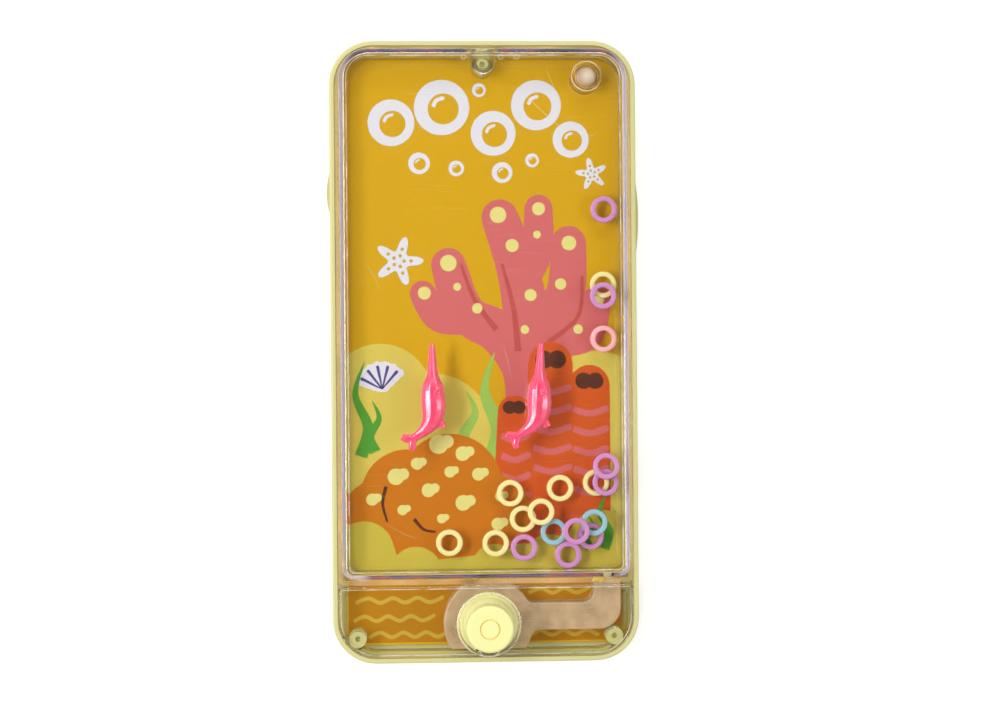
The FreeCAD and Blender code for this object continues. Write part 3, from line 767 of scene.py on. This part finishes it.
def fan_shell(x, y, size, turn):
    """Outline of a ribbed fan, narrow at its hinge."""
    outline = []
    for step in range(61):
        angle = turn + math.radians(-68 + 136 * step / 60)
        reach = size * (1 - 0.06 * abs(math.cos(step / 60 * math.pi * 7)))
        outline.append((x + reach * math.sin(angle), y + reach * math.cos(angle)))
    foot = [(x + 0.14 * size, y - 0.1 * size), (x - 0.14 * size, y - 0.1 * size)]
    return outline + foot


def star(x, y, size, turn, arms=5):
    outline = []
    for step in range(100):
        angle = 2 * math.pi * step / 100
        reach = size * (0.42 + 0.58 * (0.5 + 0.5 * math.cos(arms * angle)) ** 1.6)
        outline.append((x + reach * math.sin(angle + turn), y + reach * math.cos(angle + turn)))
    return outline


FAN = (-23.5, -8.5, 6.6, -0.2)
printed("print_fan_shell", [film(fan_shell(*FAN), 2)], "paper")
ribs = []
for lean in (-0.9, -0.45, 0, 0.45, 0.9):
    angle = FAN[3] + lean
    end = (FAN[0] + 5.2 * math.sin(angle), FAN[1] + 5.2 * math.cos(angle))
    ribs.append(film(stroke([FAN[:2], end], 0.25, 0.75), 3))
printed("print_fan_ribs", ribs, "violet")
STARS = [(-19.5, 21, 5.8, 0.3), (25.4, 41, 3.8, -0.2)]
printed("print_starfish", [film(star(*values), 4) for values in STARS], "paper")
dots = []
for x, y, size, turn in STARS:
    for arm in range(5):
        for share in (0.22, 0.5):
            angle = turn + 2 * math.pi * arm / 5
            place = (x + share * size * math.sin(angle), y + share * size * math.cos(angle))
            dots.append(film(disc(*place, 0.07 * size), 5))
printed("print_star_dots", dots, "khaki")

# %% Print: sand in front
SAND = [
    ((22, -49), [(27, -45, 8), (15, -49, 6.5), (30, -50, 8)]),
    ((-20, -50), [(-28, -46, 7), (-16, -51, 6), (-4, -52, 5)]),
    ((5, -50), [(2, -49.6, 5), (9, -50, 5.5)]),
]
sand = []
for index, (centre, lobes) in enumerate(SAND):
    sand.append(film(lobed(centre, lobes, -52.6), 6.2 + 0.15 * index))
printed("print_sand", sand, "sand")

# %% [markdown]
# White bubbles float above the coral: broad rings of ink, each with a small glint. Ribbons of
# weed sway between the pegs and at the left, and pale ripples cross the lower panel.
# %% Print: bubbles
BUBBLES = [
    (-21, 53, 5.4), (-9.3, 56.5, 6.4), (2.6, 50.5, 5.2), (12.6, 57, 5.8), (20.6, 49, 4.2), (-14.6, 43.6, 2.5),
    (-6, 42.4, 1.8), (4.6, 41.4, 2.4), (11.6, 44.2, 1.6), (-0.6, 60.5, 1.6),
]
printed("print_bubbles", [film(disc(*bubble, count=64), 0) for bubble in BUBBLES], "paper")
insides = [(x + 0.06 * radius, y - 0.05 * radius, radius * 0.56) for x, y, radius in BUBBLES]
insides = [film(disc(*inside, count=64), 1) for inside in insides]
printed("print_bubble_insides", insides, "amber")
GLINT = [(-0.3, 0.02), (-0.2, 0.24), (0.04, 0.34)]
glints = []
for x, y, radius in BUBBLES:
    points = [(x + radius * along, y + radius * up) for along, up in GLINT]
    glints.append(film(stroke(points, 0.14 * radius, 0.14 * radius), 2))
printed("print_bubble_glints", glints, "paper")

# %% Print: weed


def ribbon(x, y, height, sway, width):
    bends = ((0, 0), (sway, 0.3), (-0.7 * sway, 0.65), (0.6 * sway, 1.0))
    points = [(x + bend, y + height * share) for bend, share in bends]
    return stroke(points, width, width * 0.5, pointed=True)


DARK_WEED = [
    (-28.5, -24, 22, 1.7, 3.0), (-25.2, -23, 12, -1.3, 2.6), (27.6, -46, 13, 1.2, 2.6), (24.4, -46, 8, -1.0, 2.2),
]
PALE_WEED = [(1.5, -26, 26, 1.9, 4.6), (-3.2, -24, 15, -1.6, 3.4), (30, -45, 9, -0.7, 2.2)]
WEEDS = (("print_dark_weed", "leaf", 6.6, DARK_WEED), ("print_pale_weed", "light_leaf", 3.6, PALE_WEED))
for name, colour, layer, values in WEEDS:
    weed = [film(ribbon(*plant), layer + 0.05 * index) for index, plant in enumerate(values)]
    printed(name, weed, colour)

# %% Print: ripples on the lower panel
ripples = []
for level, start, end in ((-57.4, -30, -10), (-61.6, -30.5, -12), (-65.4, -27, 26), (-55.6, 10, 24)):
    count = max(4, int((end - start) / 2.6))
    wave = [(start + (end - start) * i / count, level + (0.55 if i % 2 else -0.55)) for i in range(count + 1)]
    ripples.append(film(stroke(wave, 0.9, 0.9), 1))
printed("print_ripples", ripples, "khaki")

# %% [markdown]
# Each peg is a little swordfish, nose up, moulded in one piece. Its body is a round bar that swells and
# tapers along a bent line, so a curve with its own radius at each point makes it. The tail lobes, the
# fin, the two ridges of the bill and the round eye are shorter bars of the same kind. They are joined by
# remeshing, which melts them together as a mould would.
# %% Bar along a curve
PEG_Z = 8.0
PEG_FLAT = 0.74


def bar(points, sides=5):
    """A solid bar through points (x, y, z, radius) in mm."""
    bpy.ops.object.select_all(action="DESELECT")
    bpy.ops.curve.primitive_nurbs_path_add()
    curve = bpy.context.object
    spline = curve.data.splines[0]
    spline.points.add(max(0, len(points) - len(spline.points)))
    if len(spline.points) > len(points):
        curve.data.splines.remove(spline)
        spline = curve.data.splines.new("NURBS")
        spline.points.add(len(points) - 1)
    for point, (x, y, z, radius) in zip(spline.points, points):
        point.co = (x * mm, y * mm, z * mm, 1)
        point.radius = radius
    spline.order_u = min(4, len(points))
    spline.use_endpoint_u = True
    spline.resolution_u = 8
    curve.data.dimensions = "3D"
    curve.data.bevel_depth = mm
    curve.data.bevel_resolution = sides
    curve.data.use_fill_caps = True
    bpy.ops.object.convert(target="MESH")
    return bpy.context.object


def modified(piece, kind, **settings):
    """Adds a modifier with those settings to the active piece, and applies it."""
    modifier = piece.modifiers.new(kind, kind)
    for name, value in settings.items():
        setattr(modifier, name, value)
    bpy.ops.object.modifier_apply(modifier=kind)


def melted(pieces, voxel, smoothing=3):
    """Joins closed pieces into one skin."""
    whole = joined(pieces)
    modified(whole, "REMESH", mode="VOXEL", voxel_size=voxel * mm)
    modified(whole, "SMOOTH", factor=0.5, iterations=smoothing)
    bpy.ops.object.shade_smooth()
    return whole


print("bar and melt ready")

# %% Swordfish pegs
FISH_BODY = [
    (-0.05, 12.0, 0.6), (-0.05, 10.4, 0.8), (0.0, 8.2, 0.98), (0.0, 6.0, 1.12), (0.0, 4.4, 1.45),
    (0.0, 3.2, 2.25), (0.0, 2.0, 2.6), (0.05, 0.4, 2.7), (0.15, -1.4, 2.9), (0.2, -3.4, 2.7),
    (-0.2, -5.4, 2.35), (-1.4, -7.2, 1.6), (-3.0, -8.5, 1.05), (-4.6, -9.5, 0.95),
]
UPPER_TAIL = [(-4.1, -9.1, 0.85), (-5.2, -9.7, 1.1), (-6.3, -9.4, 1.0), (-7.1, -9.0, 0.75)]
LOWER_TAIL = [(-4.1, -9.1, 0.85), (-4.9, -10.3, 1.0), (-4.9, -11.3, 0.9), (-4.6, -12.2, 0.6)]
FIN = [(0.8, -5.0, 0.9), (1.9, -6.0, 1.05), (2.3, -7.0, 0.8)]
RIDGE = [(0.2, 11.9, 0.34), (0.32, 8.6, 0.6), (0.42, 5.8, 0.76), (0.6, 4.2, 0.95), (0.95, 3.0, 1.45), (1.3, 1.6, 1.6)]


def flatten(piece):
    pick(piece)
    bpy.ops.object.mode_set(mode="EDIT")
    bpy.ops.mesh.select_all(action="SELECT")
    bpy.ops.transform.resize(value=(1, 1, PEG_FLAT), center_override=(0, 0, PEG_Z * mm))
    bpy.ops.object.mode_set(mode="OBJECT")


def make_fish():
    solids = []
    for line in (FISH_BODY, UPPER_TAIL, LOWER_TAIL, FIN):
        solids.append(bar([(x, y, PEG_Z, radius) for x, y, radius in line]))
    for solid in solids:
        flatten(solid)
    for side in (-1, 1):
        solids.append(bar([(side * x, y, PEG_Z + height, 0.26) for x, y, height in RIDGE]))
    bpy.ops.object.select_all(action="DESELECT")
    eye = (0.95 * mm, 1.0 * mm, (PEG_Z + 2.08) * mm)
    tilt = (0, 0.3, 0)
    bpy.ops.mesh.primitive_torus_add(major_radius=0.62 * mm, minor_radius=0.25 * mm, location=eye, rotation=tilt)
    solids.append(bpy.context.object)
    solids.append(bar([(0, 0, 4.3, 0.63), (0, 0, 5.5, 0.63), (0, 0, PEG_Z, 0.63)]))
    return melted(solids, 0.08, smoothing=2)


def settle(piece, x, y, turn):
    pick(piece)
    piece.rotation_euler = (0, 0, math.radians(turn))
    piece.location = (x * mm, y * mm, 0)
    bpy.ops.object.transform_apply(location=True, rotation=True, scale=True)


left_fish = make_fish()
pick(left_fish)
bpy.ops.object.duplicate()
right_fish = bpy.context.object
settle(left_fish, -11.9, -10.3, 0)
settle(right_fish, 12.4, -10.3, -3)
for fish, side in ((left_fish, "left"), (right_fish, "right")):
    laid(fish, "swordfish_" + side, pearl)
    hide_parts("swordfish_peg_" + side)

# %% [markdown]
# The bellows under the button is a soft cup with three round folds, and a boss on top that sits inside the button.
# Each is drawn as one rising ring: a circle extruded upwards and widened or narrowed at each step, then given its
# wall by Solidify. When the button goes down the boss goes with it.
# %% Bellows
PUMP_X, PUMP_Y = 0.5, -62.2
CUP_FOOT = 7.74
CUP_FOLD_LOW = 8.05
CUP_NECK = 12.0
CUP_SHOULDER = 12.1
CUP_TOP = 15.95
CUP_FOLDS = 3
CUP_CUT_Y = -68.1


def fold_profile():
    profile = [(7.25, CUP_FOOT), (7.25, CUP_FOLD_LOW - 0.08), (7.15, CUP_FOLD_LOW), (6.0, CUP_FOLD_LOW)]
    for step in range(1, 28):
        share = step / 27
        swell = 0.5 - 0.5 * math.cos(2 * math.pi * CUP_FOLDS * share)
        radius = 5.35 - 0.35 * share + 0.62 * swell * (1 - 0.3 * share)
        profile.append((radius, CUP_FOLD_LOW + (CUP_NECK - CUP_FOLD_LOW) * share))
    return profile + [(4.6, CUP_SHOULDER), (0.4, CUP_SHOULDER)]


def boss_profile():
    low = CUP_SHOULDER + 0.02
    return [(4.6, low), (4.6, CUP_TOP - 0.4), (4.45, CUP_TOP - 0.12), (4.1, CUP_TOP), (0.4, CUP_TOP)]


def risen(profile):
    """A round wall through (radius, height) points about the button's axis, closed on top."""
    radius, height = profile[0]
    foot = (PUMP_X * mm, PUMP_Y * mm, height * mm)
    bpy.ops.object.select_all(action="DESELECT")
    bpy.ops.mesh.primitive_circle_add(vertices=80, radius=radius * mm, location=foot)
    cup = bpy.context.object
    bpy.ops.object.transform_apply(location=True, rotation=True, scale=True)
    bpy.ops.object.mode_set(mode="EDIT")
    bpy.ops.mesh.select_all(action="SELECT")
    for next_radius, next_height in profile[1:]:
        rise = (next_height - height) * mm
        bpy.ops.mesh.extrude_region_move(TRANSFORM_OT_translate={"value": (0, 0, rise)})
        grow = next_radius / radius
        centre = (PUMP_X * mm, PUMP_Y * mm, next_height * mm)
        bpy.ops.transform.resize(value=(grow, grow, 1), center_override=centre)
        radius, height = next_radius, next_height
    bpy.ops.mesh.edge_face_add()
    bpy.ops.mesh.select_all(action="SELECT")
    bpy.ops.mesh.normals_make_consistent(inside=False)
    bpy.ops.mesh.bisect(plane_co=(0, CUP_CUT_Y * mm, 0), plane_no=(0, -1, 0), clear_outer=True)
    bpy.ops.object.mode_set(mode="OBJECT")
    modified(cup, "SOLIDIFY", thickness=0.5 * mm, offset=-1)
    bpy.ops.object.shade_smooth_by_angle(angle=math.radians(50))
    return cup


bellows = risen(fold_profile())
laid(bellows, "bellows", bellows_rubber)
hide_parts("pump_bellows")
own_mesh(bellows)
laid(risen(boss_profile()), "bellows_boss", bellows_rubber, body="button")

# %% [markdown]
# Small traces of making and of use lie on the clear pieces: three round ejector marks on the window, a few drops of
# yellowed glue where the duct enters the tank, and some long scratches. They are thin and pale; the pale rings of the
# ejector marks are a painted highlight of their rims.
# %% Traces on the clear pieces
WINDOW_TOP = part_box("tank_front")[1].z / mm
yellow_glue = veiled("yellow_glue", tint(222, 190, 70), 0.7, roughness=0.15)
scratch_and_glint_white = veiled("scratch_and_glint_white", tint(250, 240, 215), 0.55, roughness=0.5)


DROPS = [
    (25.0, -52.3, 9.0, 0.75), (25.9, -52.0, 9.0, 0.6), (24.6, -52.6, 9.05, 0.45), (26.2, -52.7, 9.0, 0.5),
    (26.8, -52.2, 8.95, 0.35),
]
drops = []
for x, y, z, size in DROPS:
    bpy.ops.object.select_all(action="DESELECT")
    bpy.ops.mesh.primitive_ico_sphere_add(subdivisions=3, radius=size * mm, location=(x * mm, y * mm, z * mm))
    bpy.ops.transform.resize(value=(1, 0.8, 0.6))
    drops.append(bpy.context.object)
laid(melted(drops, 0.1), "glue_drops", yellow_glue)

# The ejector marks' pale rings are a painted highlight of their rims.
marks = []
for x, y in ((-4.4, 66.4), (4.0, 66.4), (7.6, 66.4)):
    bpy.ops.object.select_all(action="DESELECT")
    place = (x * mm, y * mm, WINDOW_TOP * mm)
    bpy.ops.mesh.primitive_torus_add(
        major_radius=0.52 * mm, minor_radius=0.055 * mm, major_segments=32, minor_segments=8, location=place)
    marks.append(bpy.context.object)
laid(joined(marks), "ejector_marks", scratch_and_glint_white)

SCRATCHES = [
    [(5.6, 60.0), (9.2, 58.2), (12.3, 55.0), (15.9, 51.6), (18.6, 49.8), (20.9, 48.5)],
    [(-18.5, 58.4), (-14.0, 58.0), (-10.0, 57.8)],
    [(14.2, 63.4), (15.6, 61.0), (16.2, 58.6)],
    [(20.9, 48.5), (22.2, 49.4), (22.6, 47.6), (24.2, 48.8), (26.0, 49.0)],
    [(26.8, 50.6), (28.6, 52.0)],
    [(-27.0, 20.0), (-24.6, 17.6), (-23.8, 14.0)],
    [(4.0, 1.4), (5.4, -2.6), (5.8, -6.4)],
    [(-22.0, -39.0), (-18.0, -41.6), (-15.4, -42.0)],
    [(29.0, 21.0), (28.8, 17.4)],
]
THICK, THIN = 0.04, 0.01


def scratch(points):
    widths = [THIN] + [THICK] * (len(points) - 2) + [THIN]
    return bar([(x, y, WINDOW_TOP - 0.01, width) for (x, y), width in zip(points, widths)], sides=1)


laid(joined([scratch(points) for points in SCRATCHES]), "window_scratches", scratch_and_glint_white)

# %% [markdown]
# The clear mouldings' edges show as pale broken lines, and these lines are painted highlights. Each line is a thin
# closed band that follows a rounded rectangle: two loops of points bridged into a ring and given a little height. Its
# veil is patchy, so the line comes and goes. A wider band on the tank's flange is painted light over the shaded gap
# seen through the flange.
# %% Painted highlights on the edges
# Painted highlights: pale patchy lines on the clear edges.
edge_highlight_veil = veiled("edge_highlight_veil", tint(236, 222, 208), 0.34, roughness=0.4, patch=260.0, swing=0.34)
# Painted light: a pale veil that brightens the shaded gap under the flange.
flange_light_veil = veiled("flange_light_veil", tint(234, 190, 132), 0.27, roughness=0.5, patch=110.0, swing=0.2)


def rounded_loop(half_width, low, high, high_corner, low_corner, steps=10):
    """Points round a rectangle with its own corner radius at each end."""
    points = []
    corners = ((1, 1), (-1, 1), (-1, -1), (1, -1))
    for index, (side, end) in enumerate(corners):
        radius = high_corner if end > 0 else low_corner
        middle_x = side * (half_width - radius)
        middle_y = high - radius if end > 0 else low + radius
        for step in range(steps + 1):
            angle = math.pi / 2 * (index + step / steps)
            points.append((middle_x + radius * math.cos(angle), middle_y + radius * math.sin(angle)))
    return points


def edge_band(outer, width, height, rise=0.01):
    half_width, low, high, high_corner, low_corner = outer
    inner_corners = [max(0.1, corner - width) for corner in (high_corner, low_corner)]
    inner = (half_width - width, low + width, high - width, *inner_corners)
    band = joined([outlined(rounded_loop(*loop), height * mm) for loop in (outer, inner)])
    bpy.ops.object.mode_set(mode="EDIT")
    bpy.ops.mesh.select_all(action="SELECT")
    bpy.ops.mesh.bridge_edge_loops()
    raised(rise * mm)
    return band


WINDOW_EDGE = (31.0, -49.7, 66.9, 5.1, 1.2)
FLANGE_EDGE = (33.66, -53.06, 69.66, 8.7, 1.0)
COVER_EDGE = (33.2, -69.2, -53.95, 0.7, 8.3)
FLANGE_TOP, COVER_TOP = 8.9, 9.3
COLLAR_MIDDLE, COLLAR_RADIUS, COLLAR_TOP = (0.5, -62.2), 7.3, 10.4
NECK_MIDDLE, NECK_RADIUS, NECK_TOP = (23.85, 62.9), 3.5, 8.4


def round_edge(middle, radius):
    """The rounded rectangle that is a circle: both corners as large as half the width."""
    return (radius, middle[1] - radius, middle[1] + radius, radius, radius)


def moved(obj, x):
    pick(obj)
    bpy.ops.transform.translate(value=(x * mm, 0, 0))
    return obj


bands = [
    edge_band(WINDOW_EDGE, 0.2, WINDOW_TOP),
    edge_band(COVER_EDGE, 0.2, COVER_TOP),
    moved(edge_band(round_edge(COLLAR_MIDDLE, COLLAR_RADIUS), 0.22, COLLAR_TOP), COLLAR_MIDDLE[0]),
    moved(edge_band(round_edge(NECK_MIDDLE, NECK_RADIUS), 0.26, NECK_TOP), NECK_MIDDLE[0]),
]
laid(joined(bands), "painted_edge_highlights", edge_highlight_veil)
laid(edge_band(FLANGE_EDGE, 1.1, FLANGE_TOP), "painted_flange_light", flange_light_veil)

# %% [markdown]
# At the tank's lower left corner a pale bead lies on the back plate, under the wall's foot, and cuts the corner. It
# is a painted highlight: a pale solid that stands for the white light on the tank's rounded corner.
# %% Painted highlight at the tank's corner
corner_highlight_veil = veiled("corner_highlight_veil", tint(240, 222, 226), 0.7, patch=500.0, swing=0.25)
CORNER_HIGHLIGHT_BEAD = [
    (-32.3, -44.4, 4.2, 0.15), (-32.2, -47.0, 4.3, 0.45), (-31.7, -49.4, 4.4, 0.65), (-31.2, -51.2, 4.5, 0.75),
    (-30.2, -52.1, 4.5, 0.65), (-28.5, -52.4, 4.4, 0.4), (-26.4, -52.4, 4.2, 0.15),
]
laid(melted([bar(CORNER_HIGHLIGHT_BEAD)], 0.12), "corner_highlight_bead", corner_highlight_veil)

# %% [markdown]
# The toy lies on a white table. To the camera the table is plain white, which hides its edges, but it still
# takes a faint shadow. A big soft lamp on the left gives the walls of the tank their bright and dark
# sides, and an even pale sky fills in the rest.
# %% Table, sky and lamps
TABLE_GLOW = 0.35


def make_table():
    bpy.ops.object.select_all(action="DESELECT")
    bpy.ops.mesh.primitive_plane_add(size=4.0, location=(0, 0, -0.05 * mm))
    table = bpy.context.object
    table.name = "white_table"
    material, tree, links = new_material("white_table", Base_Color=(0.8, 0.8, 0.8, 1), Roughness=0.9)
    glow = tree.new("ShaderNodeEmission")
    path = tree.new("ShaderNodeLightPath")
    seen = computed(tree, links, "MAXIMUM", path.outputs["Is Camera Ray"], path.outputs["Is Transmission Ray"])
    links.new(computed(tree, links, "MULTIPLY", seen, TABLE_GLOW), glow.inputs["Strength"])
    both = tree.new("ShaderNodeAddShader")
    links.new(tree["Principled BSDF"].outputs["BSDF"], both.inputs[0])
    links.new(glow.outputs["Emission"], both.inputs[1])
    links.new(both.outputs["Shader"], tree["Material Output"].inputs["Surface"])
    table.data.materials.append(material)
    return table


def make_sky(fill, ceiling):
    """White to the camera and low round the toy, dark overhead in glass and gloss, and an even fill."""
    world = bpy.data.worlds.new("pale_sky")
    bpy.context.scene.world = world
    world.use_nodes = True
    tree, links = world.node_tree.nodes, world.node_tree.links
    path = tree.new("ShaderNodeLightPath")
    mirrored = computed(tree, links, "MAXIMUM", path.outputs["Is Glossy Ray"], path.outputs["Is Transmission Ray"])
    heading = tree.new("ShaderNodeSeparateXYZ")
    links.new(tree.new("ShaderNodeTexCoord").outputs["Generated"], heading.inputs["Vector"])
    overhead = ranged(tree, links, heading.outputs["Z"], (0.75, 0.95), (1.0, ceiling))
    level = add_node(tree, "ShaderNodeMix", data_type="FLOAT")
    level.inputs["A"].default_value = fill
    links.new(mirrored, level.inputs["Factor"])
    links.new(overhead, level.inputs["B"])
    strength = computed(tree, links, "MAXIMUM", path.outputs["Is Camera Ray"], level.outputs["Result"])
    links.new(strength, tree["Background"].inputs["Strength"])
    tree["Background"].inputs["Color"].default_value = (1, 1, 1, 1)


def soft_lamp(name, place, size, power):
    bpy.ops.object.light_add(type="AREA", location=[v * mm for v in place])
    lamp = bpy.context.object
    lamp.name = name
    lamp.data.shape = "RECTANGLE"
    lamp.data.size, lamp.data.size_y = size[0] * mm, size[1] * mm
    lamp.data.energy = power
    aim = Vector((0, 0, 5 * mm)) - lamp.location
    lamp.rotation_euler = aim.to_track_quat("-Z", "Y").to_euler()
    return lamp


make_table()
make_sky(0.58, 0.04)
soft_lamp("left_softbox", (-400, 60, 460), (420, 140), 2.55)
soft_lamp("right_fill", (460, -60, 420), (160, 240), 0.8)
soft_lamp("top_strip", (0, 520, 360), (420, 60), 0.8)
bpy.context.scene.view_settings.view_transform = "Standard"
print("table, sky and lamps set")
